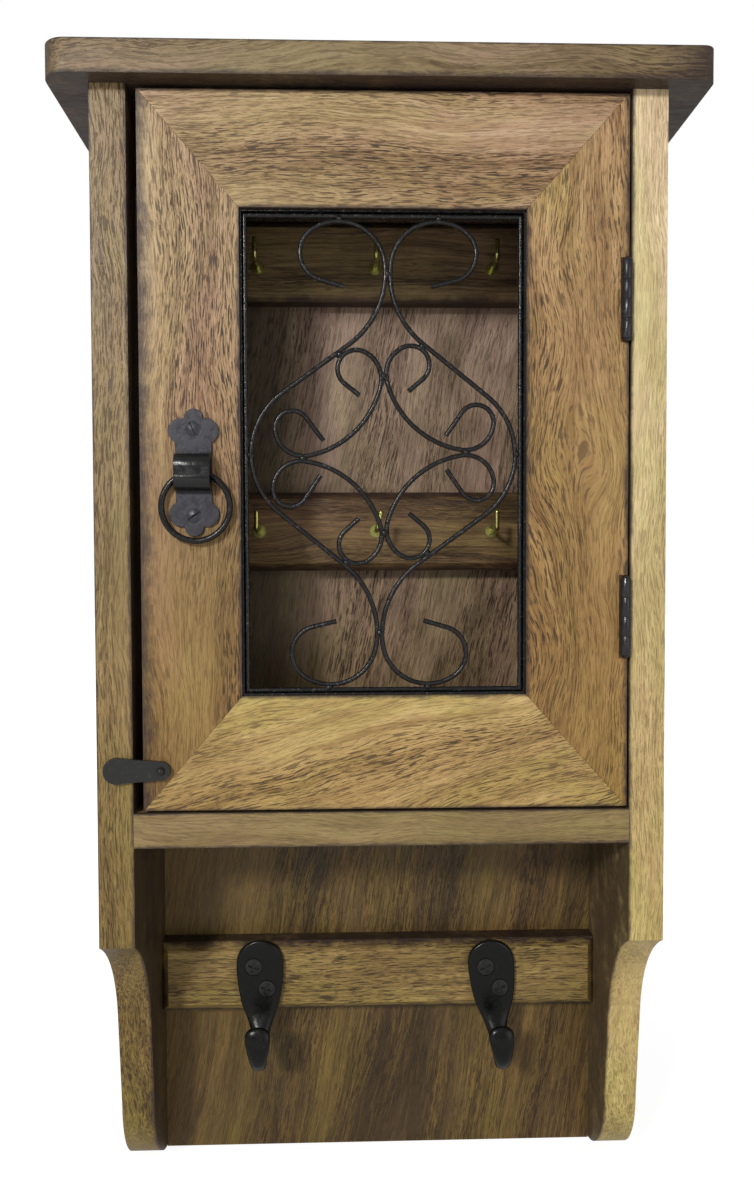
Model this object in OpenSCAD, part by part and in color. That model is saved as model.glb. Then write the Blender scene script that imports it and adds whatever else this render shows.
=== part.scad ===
// Wall-hung key cabinet: wooden carcass, mitred door with an iron scroll grille,
// key hooks inside, and coat hooks below the shelf.
// Millimetres, +Z up, the front faces -Y, the wall plane is y = 0. The origin is
// midway between the two wall-screw holes; heights are drawn from the lower end
// of the sides and hung() moves them to the origin.

/* [Carcass] */
// Width over the two sides
carcass_w = 280; // [250:1:340]
// Depth from the wall to the front edges of the sides
carcass_d = 92; // [84:1:112]
// Thickness of the sides
side_t = 17.5; // [15:0.5:22]
// Thickness of the back panel
back_t = 10; // [8:0.5:12]
// Thickness of the top board
top_t = 16; // [13:0.5:22]
// How far the top board stands out past each side
top_over_side = 20; // [12:1:30]
// How far the top board stands out past the front
top_over_front = 10.5; // [6:0.5:20]
// Height from the lower end of the sides to the shelf
bay_h = 197.2; // [185:0.2:240]
// Thickness of the shelf
shelf_t = 17.2; // [14:0.2:20]

/* [Scrolled lower ends of the sides] */
// Height at which the straight front edge ends
foot_top = 144; // [140:1:155]
// Radius of the hollow below the front edge
foot_hollow_r = 66.5; // [62:0.5:72]
// Radius of the round at the lower end
foot_round_r = 45; // [40:1:48]

/* [Rails] */
// Thickness of the rails on the back panel
rail_t = 15; // [13:0.5:18]
// Height of each key rail
key_rail_h = 43.5; // [38:0.5:48]
// Height of the coat rail
coat_rail_h = 38.75; // [36:0.25:44]
// Bevel on the front edges of the rails
rail_bevel = 4; // [2:0.5:5]
// Height of the middle of the coat rail
coat_rail_z = 104.4; // [98:0.1:125]

/* [Door] */
// Thickness of the door
door_t = 18; // [16:0.5:20]
// Width of the handle-side stile
stile_left_w = 48.6; // [44:0.2:56]
// Width of the hinge-side stile
stile_right_w = 50.4; // [44:0.2:56]
// Height of the upper rail of the door
door_top_h = 56.1; // [48:0.1:64]
// Height of the lower rail of the door
door_bottom_h = 56.4; // [48:0.1:64]
// Gap beside the handle-side stile
gap_left = 5; // [3:0.5:6]
// Gap beside the hinge-side stile
gap_right = 1.3; // [1.3:0.1:2]
// Gap under the door
gap_bottom = 1.2; // [0.8:0.1:3]
// Gap above the door
gap_top = 2; // [0.8:0.1:3]

/* [Grille] */
// Radius of the scroll wire at the standard opening width
scroll_wire_r = 1.17; // [1:0.01:1.17]
// Radius of the rod round the opening at the standard opening width
rod_r = 1.25; // [1:0.05:1.3]
// Thickness of the strip that lines the opening
strip_t = 1; // [0.8:0.1:1.2]
// Depth of the strip
strip_d = 15; // [12:0.5:15.5]
// How far the wires lie behind the front of the door
wire_inset = 5; // [4:0.5:7]

/* [Hinges] */
// Height of a hinge leaf
hinge_h = 38; // [30:1:44]
// Thickness of a hinge leaf
leaf_t = 1.2; // [1:0.1:1.4]
// Reach of a leaf from the pin
leaf_w = 15; // [13:0.5:16.5]
// Radius of the hinge pin
pin_r = 1.2; // [1:0.05:1.3]
// Running clearance round the hinge pin, on the radius
pin_play = 0.05; // [0.03:0.01:0.08]
// Radius over the knuckles
knuckle_r = 2.75; // [2.6:0.05:2.75]
// Distance of the upper hinge's middle from the top of the door
hinge_drop = 99.5; // [80:0.5:110]
// Distance of the lower hinge's middle from the bottom of the door
hinge_rise = 94.5; // [80:0.5:110]

/* [Ring pull] */
// Height of the ring's swing axis above the bottom of the door
pull_rise = 165.4; // [140:0.2:200]
// Height of the plate from tip to tip
plate_h = 61.6; // [60:0.2:63]
// Thickness of the plate
plate_t = 1.5; // [1.2:0.1:1.8]
// Radius of the ring to the middle of its wire
ring_r = 16.5; // [16:0.25:18]
// Radius of the ring's wire
ring_wire_r = 1.5; // [1.2:0.1:1.6]
// Width of the loop that holds the ring
loop_w = 17.2; // [14:0.2:18]

/* [Turn button] */
// Radius of the wide end
button_wide_r = 6.4; // [5.5:0.1:8]
// Radius of the pivot end
button_narrow_r = 4.6; // [4.2:0.1:5]
// Distance between the middles of the two ends
button_reach = 21.7; // [18:0.1:26]
// Thickness of the button
button_t = 2.5; // [2:0.1:3]

/* [Key hooks] */
// Radius of the hook's wire
key_wire_r = 1.25; // [1:0.05:1.5]
// Reach of a hook from its rail
key_reach = 20; // [15:0.5:24]
// Rise of a hook's arm above the wire's middle
key_rise = 9.5; // [8:0.5:12]
// Spacing of the hooks along a rail
key_pitch = 64.5; // [54:0.5:72]

/* [Coat hooks] */
// Spacing of the coat hooks
coat_pitch = 129; // [110:1:150]
// Radius of the head of the hook's plate
coat_head_r = 13.2; // [12.5:0.1:14]
// Thickness of the hook's plate
coat_plate_t = 4; // [3.5:0.1:5]
// Radius of the bend of the prong
coat_bend_r = 10.5; // [9:0.5:12]

/* [Wall fixing] */
// Spacing of the two wall-screw holes
wall_pitch = 180; // [120:1:200]
// Radius of a wall-screw hole
wall_hole_r = 2.5; // [2:0.1:3]
// Distance of the wall-screw holes below the top board
wall_drop = 21; // [10:0.5:24]

/* [Fits] */
// Clearance round a screw or dowel in its hole, on the radius
fit = 0.05; // [0.03:0.01:0.08]
// Gap between a moving part and what it passes
air = 0.4; // [0.3:0.05:0.5]

/* [Hidden] */
$fn = 48;
inner_w = carcass_w - 2 * side_t;
inner_left = -inner_w / 2;
inner_right = inner_w / 2;
front_y = -carcass_d;

// The scrollwork is drawn for this opening and scaled to the real one.
std_open_w = 139.7;
std_open_h = 236.6;
door_left = inner_left + gap_left;
door_right = inner_right - gap_right;
open_left = door_left + stile_left_w;
open_right = door_right - stile_right_w;
open_w = open_right - open_left;
grille_scale = open_w / std_open_w;
open_h = std_open_h * grille_scale;
door_bottom = bay_h + shelf_t + gap_bottom;
open_bottom = door_bottom + door_bottom_h;
open_top = open_bottom + open_h;
door_top = open_top + door_top_h;
side_h = door_top + gap_top;
door_back_y = front_y + door_t;
// Corners of the door and of its opening, anticlockwise from the lower left
door_corners = [
  [door_left, door_bottom], [door_right, door_bottom], [door_right, door_top], [door_left, door_top]
];
open_corners = [
  [open_left, open_bottom], [open_right, open_bottom], [open_right, open_top], [open_left, open_top]
];
hang_h = side_h - wall_drop;

rail_front_y = -back_t - rail_t;
key_rail_low_z = open_bottom + 0.35 * open_h;
key_rail_high_z = open_top - 0.021 * open_h;
key_hook_drop = 4.5;

hinge_x = inner_right - knuckle_r;
hinge_y = front_y - 1.5;
hinge_low_z = door_bottom + hinge_rise;
hinge_high_z = door_top - hinge_drop;
knuckles = 4;
knuckle_gap = 0.1;
leaf_gap = 0.1;
// Distance from the pin at which a leaf's plate starts beside the other leaf's knuckles
leaf_start = knuckle_r + air;
cap_h = 1.3;

pull_x = door_left + 26.2;
pull_z = door_bottom + pull_rise;
loop_y = front_y - plate_t - ring_wire_r - air;
loop_in_r = ring_wire_r + 3.4;
loop_out_r = loop_in_r + 1.5;
loop_stretch = 2.7;
pull_screw_rise = 21;

button_x = door_left + 9;
button_z = door_bottom + 20.4;

catch_z = door_top - 60;
catch_strike_t = 1;
catch_w = 13;
catch_d = 16;
catch_h = 40;

dowel_r = 4;
dowel_top_l = 30;
dowel_shelf_l = 24;
key_shank = 11;
coat_tube_r = 4;
// Distance of the prong's leg from the rail
coat_leg_y = coat_tube_r + 0.3;
// Drop of the bend's middle below the top of the plate
coat_bend_drop = 52.2;
knuckle_pitch = hinge_h / knuckles;
carcass_leaf_x = knuckle_r - leaf_t;
door_leaf_x = carcass_leaf_x - leaf_gap - leaf_t;
catch_y = door_back_y + catch_strike_t + 0.6;

// Screws: [shank radius, head radius, length]
rail_screw = [1.8, 3.6, 20];
coat_screw = [2, 4.6, 15];
grille_screw = [1.2, 2.4, 9];
hinge_screw = [1.3, 2.6, 11];
pull_screw = [1.5, 3.6, 12];
catch_screw = [1.5, 3, 20];
strike_screw = [1.3, 2.3, 8];
coat_screw_dome = 0.5;
pull_screw_dome = 0.8;
button_screw_r = 1.5;
slot_depth = 0.6;
// Step that keeps two faces from meeting exactly edge to edge
seam = 0.05;

// ---- helpers ----

module hung() translate([0, 0, -hang_h]) children();

// A box given by its two opposite corners
module box(lo, hi) translate(lo) cube(hi - lo);

// Turns a drawing in the x-y plane to x-z, with its +z side to the front, back or side
module facing_front() rotate([90, 0, 0]) children();
module facing_back() rotate([-90, 0, 0]) children();
module facing_right() rotate([0, 90, 0]) children();
module facing_left() rotate([0, -90, 0]) children();

// Turns a drawing of (depth, height) so that it is extruded along +x
module along_x() rotate([90, 0, 90]) children();

// Countersunk screw of size [shank radius, head radius, length]. The head's rim is at
// z = 0 and its face rises by dome above that; the shank goes to -z.
module screw(size, slot_angle = 0, cross = false, dome = 0) {
  r = size[0];
  head_r = size[1];
  difference() {
    union() {
      translate([0, 0, r - head_r]) cylinder(r1 = r, r2 = head_r, h = head_r - r);
      translate([0, 0, -size[2]]) cylinder(r = r, h = size[2] + r - head_r + seam);
      if (dome > 0) screw_dome(head_r - 3 * seam, dome);
    }
    rotate(slot_angle) slot_cut(head_r, dome, cross ? 0.7 : 1.1);
    if (cross) rotate(slot_angle + 90) slot_cut(head_r, dome, 0.7);
  }
}
module screw_dome(base_r, rise) {
  ball_r = (pow(base_r, 2) + pow(rise, 2)) / (2 * rise);
  difference() {
    translate([0, 0, rise - ball_r]) sphere(r = ball_r, $fn = 96);
    translate([-ball_r - 1, -ball_r - 1, -2 * ball_r - 2 - seam / 5]) cube(2 * ball_r + 2);
  }
}
// reach = how far the slot goes towards the rim, as a share of the head's radius
module slot_cut(head_r, dome, reach) {
  half_w = 0.14 * head_r;
  translate([-head_r * reach, -half_w, -slot_depth])
    cube([2 * head_r * reach, 2 * half_w, slot_depth + dome + 1]);
}

// The space that screw() needs, with the fit all round
module screw_space(size) {
  r = size[0];
  head_r = size[1];
  translate([0, 0, r - head_r]) cylinder(r1 = r + fit, r2 = head_r + fit, h = head_r - r);
  cylinder(r = head_r + fit, h = 1);
  translate([0, 0, -size[2] - 0.5]) cylinder(r = r + fit, h = size[2] + 0.5);
}

// ---- carcass ----

// Side seen from its left: x = distance behind the front edge, y = height
module foot_profile() {
  step = 7;
  hollow_drop = 56.5;
  hollow_z = foot_top - hollow_drop;
  hollow_x = step - sqrt(pow(foot_hollow_r, 2) - pow(hollow_drop, 2));
  slope_top = hollow_z + 10.5;
  slope_top_x = hollow_x + sqrt(pow(foot_hollow_r, 2) - pow(slope_top - hollow_z, 2));
  round_x = carcass_d - 2;
  difference() {
    square([carcass_d, side_h]);
    translate([-1, -1]) square([step + 1, foot_top + 1]);
    intersection() {
      translate([hollow_x, hollow_z]) circle(r = foot_hollow_r, $fn = 96);
      translate([-1, slope_top]) square([carcass_d, side_h]);
    }
    polygon([[-1, slope_top + 0.01], [slope_top_x, slope_top + 0.01],
             [round_x - foot_round_r, foot_round_r - 0.01], [-1, foot_round_r - 0.01]]);
    difference() {
      translate([-1, -1]) square([round_x + 1, foot_round_r + 1]);
      translate([round_x, foot_round_r]) circle(r = foot_round_r, $fn = 96);
    }
  }
}

module side_panel(x) translate([x, front_y, 0]) along_x() linear_extrude(side_t) foot_profile();

module side_left() color("#b9935a") difference() {
  side_panel(-carcass_w / 2);
  top_dowels_shape(fit);
  shelf_dowels_shape(fit);
  catch_screw_places() screw_space(catch_screw);
}

module side_right() color("#b9935a") difference() {
  side_panel(inner_right);
  top_dowels_shape(fit);
  shelf_dowels_shape(fit);
  for (z = [hinge_low_z, hinge_high_z]) carcass_leaf_screw_places(z) screw_space(hinge_screw);
}

// Plan of the top board, its back edge on y = 0
module top_plan() {
  half = carcass_w / 2 + top_over_side;
  depth = carcass_d + top_over_front;
  left_r = 11.5;
  right_r = 6;
  difference() {
    translate([-half, -depth]) square([2 * half, depth]);
    translate([-half, -depth]) corner_waste(left_r);
    translate([half, -depth]) mirror([1, 0]) corner_waste(right_r);
  }
}
module corner_waste(r) difference() {
  translate([-1, -1]) square(r + 1);
  translate([r, r]) circle(r = r);
}

module top_board() color("#a67c45") difference() {
  translate([0, 0, side_h]) linear_extrude(top_t) top_plan();
  top_dowels_shape(fit);
}

module back_panel() color("#8d6c4e") difference() {
  box([inner_left, -back_t, 0], [inner_right, 0, side_h]);
  for (x = [-1, 1]) translate([x * wall_pitch / 2, 1, hang_h])
    facing_front() cylinder(r = wall_hole_r, h = back_t + 2);
  rail_screw_places() screw_space(rail_screw);
}

module shelf() color("#b08a52") difference() {
  box([inner_left, front_y, bay_h], [inner_right, -back_t, bay_h + shelf_t]);
  shelf_dowels_shape(fit);
}

module top_dowels_shape(gap) {
  for (x = [-1, 1], y = [-20, front_y + 20])
    translate([x * (carcass_w - side_t) / 2, y, side_h - 20 - gap])
      cylinder(r = dowel_r + gap, h = dowel_top_l + 2 * gap);
}
module shelf_dowels_shape(gap) {
  for (x = [inner_left - 10, inner_right - 14], y = [-28, front_y + 20])
    translate([x - gap, y, bay_h + shelf_t / 2])
      facing_right() cylinder(r = dowel_r + gap, h = dowel_shelf_l + 2 * gap);
}
module top_dowels() color("#d8bb86") top_dowels_shape(0);
module shelf_dowels() color("#d8bb86") shelf_dowels_shape(0);

// ---- rails on the back panel ----

module rail(mid_z, height) {
  half = height / 2;
  b = rail_bevel;
  f = rail_front_y;
  translate([0, 0, mid_z]) intersection() {
    translate([inner_left, 0, 0]) along_x() linear_extrude(inner_w)
      polygon([[-back_t, -half], [f + b, -half], [f, -half + b],
               [f, half - b], [f + b, half], [-back_t, half]]);
    translate([0, 0, -half]) linear_extrude(height)
      polygon([[inner_left, -back_t], [inner_left, f + b], [inner_left + b, f],
               [inner_right - b, f], [inner_right, f + b], [inner_right, -back_t]]);
  }
}

module key_rail_upper() color("#8a6a42") difference() {
  rail(key_rail_high_z, key_rail_h);
  for (i = [-1:1]) key_hook_place(i, key_rail_high_z) key_hook_hole();
  rail_screw_places() screw_space(rail_screw);
}
module key_rail_lower() color("#a07c4c") difference() {
  rail(key_rail_low_z, key_rail_h);
  for (i = [-1:1]) key_hook_place(i, key_rail_low_z) key_hook_hole();
  rail_screw_places() screw_space(rail_screw);
}
module coat_rail() color("#c3a066") difference() {
  rail(coat_rail_z, coat_rail_h);
  for (side = [-1, 1]) coat_hook_place(side) coat_screw_places() screw_space(coat_screw);
  rail_screw_places() screw_space(rail_screw);
}

// Screws from the back through the panel into the rails
module rail_screw_places() {
  for (x = [-95, 30, 95], z = [key_rail_high_z, key_rail_low_z, coat_rail_z])
    translate([x, 0, z]) facing_back() children();
}
module rail_screws() color("#9a9a96") rail_screw_places() screw(rail_screw, 30, true);

// ---- key hooks ----

module key_hook_place(i, mid_z) {
  // The middle hook of the lower rail is screwed in a little too far round
  turn = (i == 0 && mid_z == key_rail_low_z) ? 12 : 0;
  drop = mid_z == key_rail_high_z ? key_hook_drop : 0;
  translate([i * key_pitch - 1, rail_front_y, mid_z - drop]) rotate([0, turn, 0]) children();
}
module key_hook_hole() facing_back() translate([0, 0, -1])
  cylinder(r = key_wire_r + fit, h = key_shank + 1.5);
module key_hook() {
  bend = 3;
  facing_back() cylinder(r = key_wire_r, h = key_shank);
  facing_front() cylinder(r = 3.5, h = 0.9);
  facing_front() cylinder(r = key_wire_r, h = key_reach - bend);
  translate([0, -(key_reach - bend), bend]) along_x() rotate(180)
    rotate_extrude(angle = 90) translate([bend, 0]) circle(r = key_wire_r);
  translate([0, -key_reach, bend]) cylinder(r = key_wire_r, h = key_rise - bend);
  translate([0, -key_reach, key_rise]) sphere(r = key_wire_r);
}
module key_hook_upper_left() color("#b8a04a") key_hook_place(-1, key_rail_high_z) key_hook();
module key_hook_upper_middle() color("#b8a04a") key_hook_place(0, key_rail_high_z) key_hook();
module key_hook_upper_right() color("#b8a04a") key_hook_place(1, key_rail_high_z) key_hook();
module key_hook_lower_left() color("#b8a04a") key_hook_place(-1, key_rail_low_z) key_hook();
module key_hook_lower_middle() color("#b8a04a") key_hook_place(0, key_rail_low_z) key_hook();
module key_hook_lower_right() color("#b8a04a") key_hook_place(1, key_rail_low_z) key_hook();

// ---- coat hooks ----

// side = -1 for the left hook, 1 for the right, which hangs a little askew
module coat_hook_place(side) {
  askew = side == 1 ? -4.5 : -0.5;
  top_z = coat_rail_z + (side == 1 ? 20.2 : 22);
  translate([side * coat_pitch / 2 - 2.5, rail_front_y, top_z]) rotate([0, askew, 0]) children();
}
module coat_screw_places() {
  for (p = [[-3.5, -14.5], [3.7, -27]]) translate([p[0], -coat_plate_t, p[1]]) facing_front() children();
}
// Face of the plate, its top at y = 0: a round head and sides that close in below
module coat_plate_outline() {
  side_r = 108;
  head_y = -coat_head_r;
  translate([0, head_y]) circle(r = coat_head_r);
  intersection() {
    long_arc(-1, side_r, head_y);
    long_arc(1, side_r, head_y);
    translate([-coat_head_r, 1 - coat_bend_drop]) square([2 * coat_head_r, coat_bend_drop - 1 + head_y]);
  }
}
module long_arc(s, r, y) translate([s * (r - coat_head_r + seam), y]) circle(r = r, $fn = 128);

module coat_hook() {
  bend_y = -coat_leg_y - coat_bend_r;
  difference() {
    facing_front() linear_extrude(coat_plate_t) coat_plate_outline();
    coat_screw_places() screw_space(coat_screw);
  }
  // The leg runs up into the plate and leans back as it narrows
  translate([0, -coat_leg_y, -coat_bend_drop]) {
    sphere(r = coat_tube_r + seam);
    rotate([-5, 0, 0]) cylinder(r1 = coat_tube_r, r2 = 0.6, h = 21);
  }
  translate([0, bend_y, -coat_bend_drop]) along_x() rotate(180)
    rotate_extrude(angle = 180) translate([coat_bend_r, 0]) circle(r = coat_tube_r);
  translate([0, bend_y - coat_bend_r, -coat_bend_drop]) coat_spoon();
}
// Upturned end of the prong: two fingers side by side that widen it, and a lip across
module coat_spoon() {
  rise = 9.3;
  half_w = 3.5;
  sphere(r = coat_tube_r + seam);
  for (s = [-1, 1]) {
    rotate([0, s * atan(half_w / rise), 0])
      cylinder(r1 = coat_tube_r - 4 * seam, r2 = half_w - seam, h = norm([rise, half_w]));
    translate([s * half_w, 0, rise]) sphere(r = half_w);
  }
  translate([-half_w, 0, rise]) facing_right() cylinder(r = half_w - 2 * seam, h = 2 * half_w);
}
module coat_hook_left() color("#24211f") coat_hook_place(-1) coat_hook();
module coat_hook_right() color("#24211f") coat_hook_place(1) coat_hook();
module coat_hook_screws() color("#2c2826") {
  for (side = [-1, 1]) coat_hook_place(side) coat_screw_places()
    screw(coat_screw, 20 * side, true, coat_screw_dome);
}

// ---- door ----

module door_board(outline) translate([0, door_back_y, 0]) facing_front()
  linear_extrude(door_t) polygon(outline);
// One board of the mitred frame, between corners i and j of the door and of the opening
module door_member(i, j) door_board([door_corners[i], door_corners[j], open_corners[j], open_corners[i]]);

module door_stile_left() color("#bd9550") difference() {
  door_member(3, 0);
  grille_screw_places() screw_space(grille_screw);
  pull_screw_places() screw_space(pull_screw);
  button_place() facing_front() translate([0, 0, -11]) cylinder(r = button_screw_r + fit, h = 12);
  catch_strike_screw_places() screw_space(strike_screw);
}
module door_stile_right() color("#c39d5c") difference() {
  door_member(1, 2);
  grille_screw_places() screw_space(grille_screw);
  for (z = [hinge_low_z, hinge_high_z]) {
    hinge_place(z) hinge_recess();
    door_leaf_screw_places(z) screw_space(hinge_screw);
  }
}
module door_rail_top() color("#bf9652") door_member(2, 3);
module door_rail_bottom() color("#c49c54") door_member(0, 1);

// ---- grille: drawn round the middle of the standard opening, in the plane of the wires ----

module grille_at() {
  translate([(open_left + open_right) / 2, front_y + wire_inset, (open_bottom + open_top) / 2])
    scale(grille_scale) facing_front() children();
}

module grille_frame() color("#2b2725") difference() {
  grille_at() translate([0, 0, wire_inset - 2 - strip_d]) linear_extrude(strip_d) difference() {
    square([std_open_w, std_open_h], center = true);
    square([std_open_w - 2 * strip_t, std_open_h - 2 * strip_t], center = true);
  }
  grille_screw_places() screw_space(grille_screw);
}

module grille_rod() color("#34302e") grille_at() {
  x = std_open_w / 2 - strip_t - rod_r;
  y = std_open_h / 2 - strip_t - rod_r;
  for (s = [-1, 1]) {
    translate([s * x, y, 0]) rotate([90, 0, 0]) cylinder(r = rod_r, h = 2 * y);
    translate([-x, s * y, 0]) rotate([0, 90, 0]) cylinder(r = rod_r, h = 2 * x);
    for (t = [-1, 1]) translate([s * x, t * y, 0]) sphere(r = rod_r);
  }
}

// A wire that starts at the origin along +y. Each stretch is [radius, turn]: a turn
// to the left is positive, and a radius of 0 makes a straight run of that length.
module wire_path(stretches, i = 0) {
  if (i > 0 && i < len(stretches)) sphere(r = scroll_wire_r + 0.03, $fn = 24);
  if (i < len(stretches)) {
    r = stretches[i][0];
    a = stretches[i][1];
    if (r == 0) {
      rotate([-90, 0, 0]) cylinder(r = scroll_wire_r, h = a, $fn = 24);
      translate([0, a, 0]) wire_path(stretches, i + 1);
    } else {
      s = sign(a);
      translate([-s * r, 0, 0]) mirror([s < 0 ? 1 : 0, 0, 0])
        rotate_extrude(angle = abs(a)) translate([r, 0]) circle(r = scroll_wire_r, $fn = 24);
      translate([-s * r, 0, 0]) rotate(a) translate([s * r, 0, 0]) wire_path(stretches, i + 1);
    }
  }
}

// Upper half of an outer scroll, from the middle of its side to the curl
outer_half = [[36.79, -52.66], [0, 40.7], [43.28, 59.2], [22.8, 119.99], [13.51, 128.72], [0, 12]];
// An inner scroll, from the curl near the middle line to the curl near the side
inner_whole = [
  [0, 9.2], [9.25, -168.82], [14.73, -76.04], [45.37, -65.33], [14.02, -96.26], [8.57, -148.46], [0, 13.93]
];

module outer_scroll() {
  sphere(r = scroll_wire_r + 0.03, $fn = 24);
  wire_path(outer_half);
  mirror([0, 1, 0]) wire_path(outer_half);
}
module inner_scroll() translate([-12.83, 28.23, 0]) rotate(48.94) wire_path(inner_whole);

module scroll_outer_left() color("#3a3633") grille_at()
  translate([-65.08, 1.14, 0]) rotate(-1.46) outer_scroll();
module scroll_outer_right() color("#3a3633") grille_at()
  translate([65.06, -0.93, 0]) rotate(-1.46) mirror([1, 0, 0]) outer_scroll();
module scroll_inner_upper_left() color("#3a3633") grille_at()
  translate([2.38, 1.47, 0]) rotate(2.74) inner_scroll();
module scroll_inner_upper_right() color("#3a3633") grille_at()
  translate([-0.95, 3.11, 0]) rotate(-0.96) mirror([1, 0, 0]) inner_scroll();
module scroll_inner_lower_left() color("#3a3633") grille_at()
  translate([0.56, -2.99, 0]) rotate(0.19) mirror([0, 1, 0]) inner_scroll();
module scroll_inner_lower_right() color("#3a3633") grille_at()
  translate([-0.7, -0.61, 0]) rotate(180.55) inner_scroll();

// Where wires meet, from the middle of the opening: [x, y, radius of the bead]
weld_points = [
  [2.2, 88.1, 1.8], [-2.3, -87.9, 1.8],
  [-21.5, 48.8, 1.9], [19, 53, 1.8], [-18.8, -53.1, 1.8], [21.4, -48.7, 1.9],
  [0.1, 38.5, 1.9], [0.2, -38.4, 2.1], [-39.8, -1.8, 1.9], [40.5, 1.1, 1.9],
  [-65.8, 0, 1.7], [65.8, 0.2, 1.7]
];
// Beads between the outer scrolls and the rod above and below: [x, side]
rod_weld_points = [[-21.5, 1], [27.2, 1], [-27.3, -1], [21.5, -1]];
rod_weld_r = 1.8;
module grille_welds() color("#3a3532") grille_at() {
  for (p = weld_points) translate([p[0], p[1], 0]) sphere(r = p[2], $fn = 24);
  for (p = rod_weld_points)
    translate([p[0], p[1] * (std_open_h / 2 - strip_t - 2 * rod_r), 0]) sphere(r = rod_weld_r, $fn = 24);
}

// Four small screws through the lining strip into the stiles, heads inside the opening
module grille_screw_places() {
  inset = strip_t * grille_scale;
  y = front_y + wire_inset + 8;
  for (z = [open_bottom + 40, open_top - 40]) {
    translate([open_left + inset, y, z]) facing_right() children();
    translate([open_right - inset, y, z]) facing_left() children();
  }
}
module grille_screws() color("#4a4643") grille_screw_places() screw(grille_screw, 40);

// ---- hinges: drawn round the pin, which is the z axis, mid-height at z = 0 ----

module hinge_place(z) translate([hinge_x, hinge_y, z]) children();

// The knuckles numbered in list, and a plate from x0 to x1 that meets them
module leaf(list, x0, x1, plate_start) {
  difference() {
    union() {
      translate([x0, leaf_start, -hinge_h / 2]) cube([x1 - x0, leaf_w - leaf_start, hinge_h]);
      for (k = list) translate([0, 0, -hinge_h / 2 + k * knuckle_pitch]) {
        translate([0, 0, knuckle_gap / 2]) cylinder(r = knuckle_r, h = knuckle_pitch - knuckle_gap);
        translate([x0, plate_start, knuckle_gap / 2])
          cube([x1 - x0, leaf_start - plate_start + 0.1, knuckle_pitch - knuckle_gap]);
      }
    }
    translate([0, 0, -hinge_h]) cylinder(r = pin_r + pin_play, h = 2 * hinge_h);
  }
}
module carcass_leaf(z) difference() {
  hinge_place(z) leaf([0, 2], carcass_leaf_x, knuckle_r, 0);
  carcass_leaf_screw_places(z) screw_space(hinge_screw);
}
module door_leaf(z) difference() {
  hinge_place(z) leaf([1, 3], door_leaf_x, door_leaf_x + leaf_t, pin_r + 0.4);
  door_leaf_screw_places(z) screw_space(hinge_screw);
}
module pin() {
  cylinder(r = pin_r, h = hinge_h + 0.2, center = true);
  for (s = [0, 1]) mirror([0, 0, s]) translate([0, 0, hinge_h / 2 + 0.05])
    cylinder(r1 = knuckle_r - 0.4, r2 = pin_r, h = cap_h);
}
// Room for the door leaf and the knuckles in the edge of the door
module hinge_recess() {
  translate([door_leaf_x, 0, -hinge_h / 2 - fit]) cube([leaf_t + 1, leaf_w + fit, hinge_h + 2 * fit]);
  cylinder(r = leaf_start, h = hinge_h + 2 * cap_h + 0.6, center = true);
}
module carcass_leaf_screw_places(z) {
  hinge_place(z) for (s = [-1, 1]) translate([carcass_leaf_x, 9, s * 11]) facing_left() children();
}
module door_leaf_screw_places(z) {
  hinge_place(z) for (s = [-1, 1]) translate([door_leaf_x + leaf_t, 9, s * 11]) facing_right() children();
}

module hinge_upper_carcass_leaf() color("#4b4440") carcass_leaf(hinge_high_z);
module hinge_upper_door_leaf() color("#4b4440") door_leaf(hinge_high_z);
module hinge_upper_pin() color("#5a524c") hinge_place(hinge_high_z) pin();
module hinge_lower_carcass_leaf() color("#4b4440") carcass_leaf(hinge_low_z);
module hinge_lower_door_leaf() color("#4b4440") door_leaf(hinge_low_z);
module hinge_lower_pin() color("#5a524c") hinge_place(hinge_low_z) pin();
module hinge_screws_carcass() color("#6b6460") {
  for (z = [hinge_low_z, hinge_high_z]) carcass_leaf_screw_places(z) screw(hinge_screw, 45, true);
}
module hinge_screws_door() color("#6b6460") {
  for (z = [hinge_low_z, hinge_high_z]) door_leaf_screw_places(z) screw(hinge_screw, 45, true);
}

// ---- ring pull ----

module pull_place() translate([pull_x, front_y, pull_z]) children();
module pull_screw_places() {
  for (s = [-1, 1]) pull_place() translate([0, -plate_t, s * pull_screw_rise]) facing_front() children();
}
module plate_outline() {
  tip_r = 4.6;
  lobe_y = plate_h / 2 - 10.7;
  square([17.6, 2 * lobe_y], center = true);
  for (s = [-1, 1]) {
    translate([0, s * (plate_h / 2 - tip_r)]) circle(r = tip_r);
    translate([0, s * lobe_y]) circle(r = 7);
    for (t = [-1, 1]) translate([t * 5.9, s * lobe_y]) circle(r = 6.2);
  }
}
module pull_plate() color("#3b3436") {
  difference() {
    pull_place() facing_front() linear_extrude(plate_t) plate_outline();
    pull_screw_places() screw_space(pull_screw);
  }
  translate([pull_x - loop_w / 2, loop_y, pull_z]) along_x() linear_extrude(loop_w) loop_section();
}
// A round shape drawn out in height, with its centres from low to high
module loop_round(r, low, high) {
  for (y = [low, high]) translate([0, y]) circle(r = r);
  translate([seam - r, low]) square([2 * (r - seam), high - low]);
}
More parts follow.
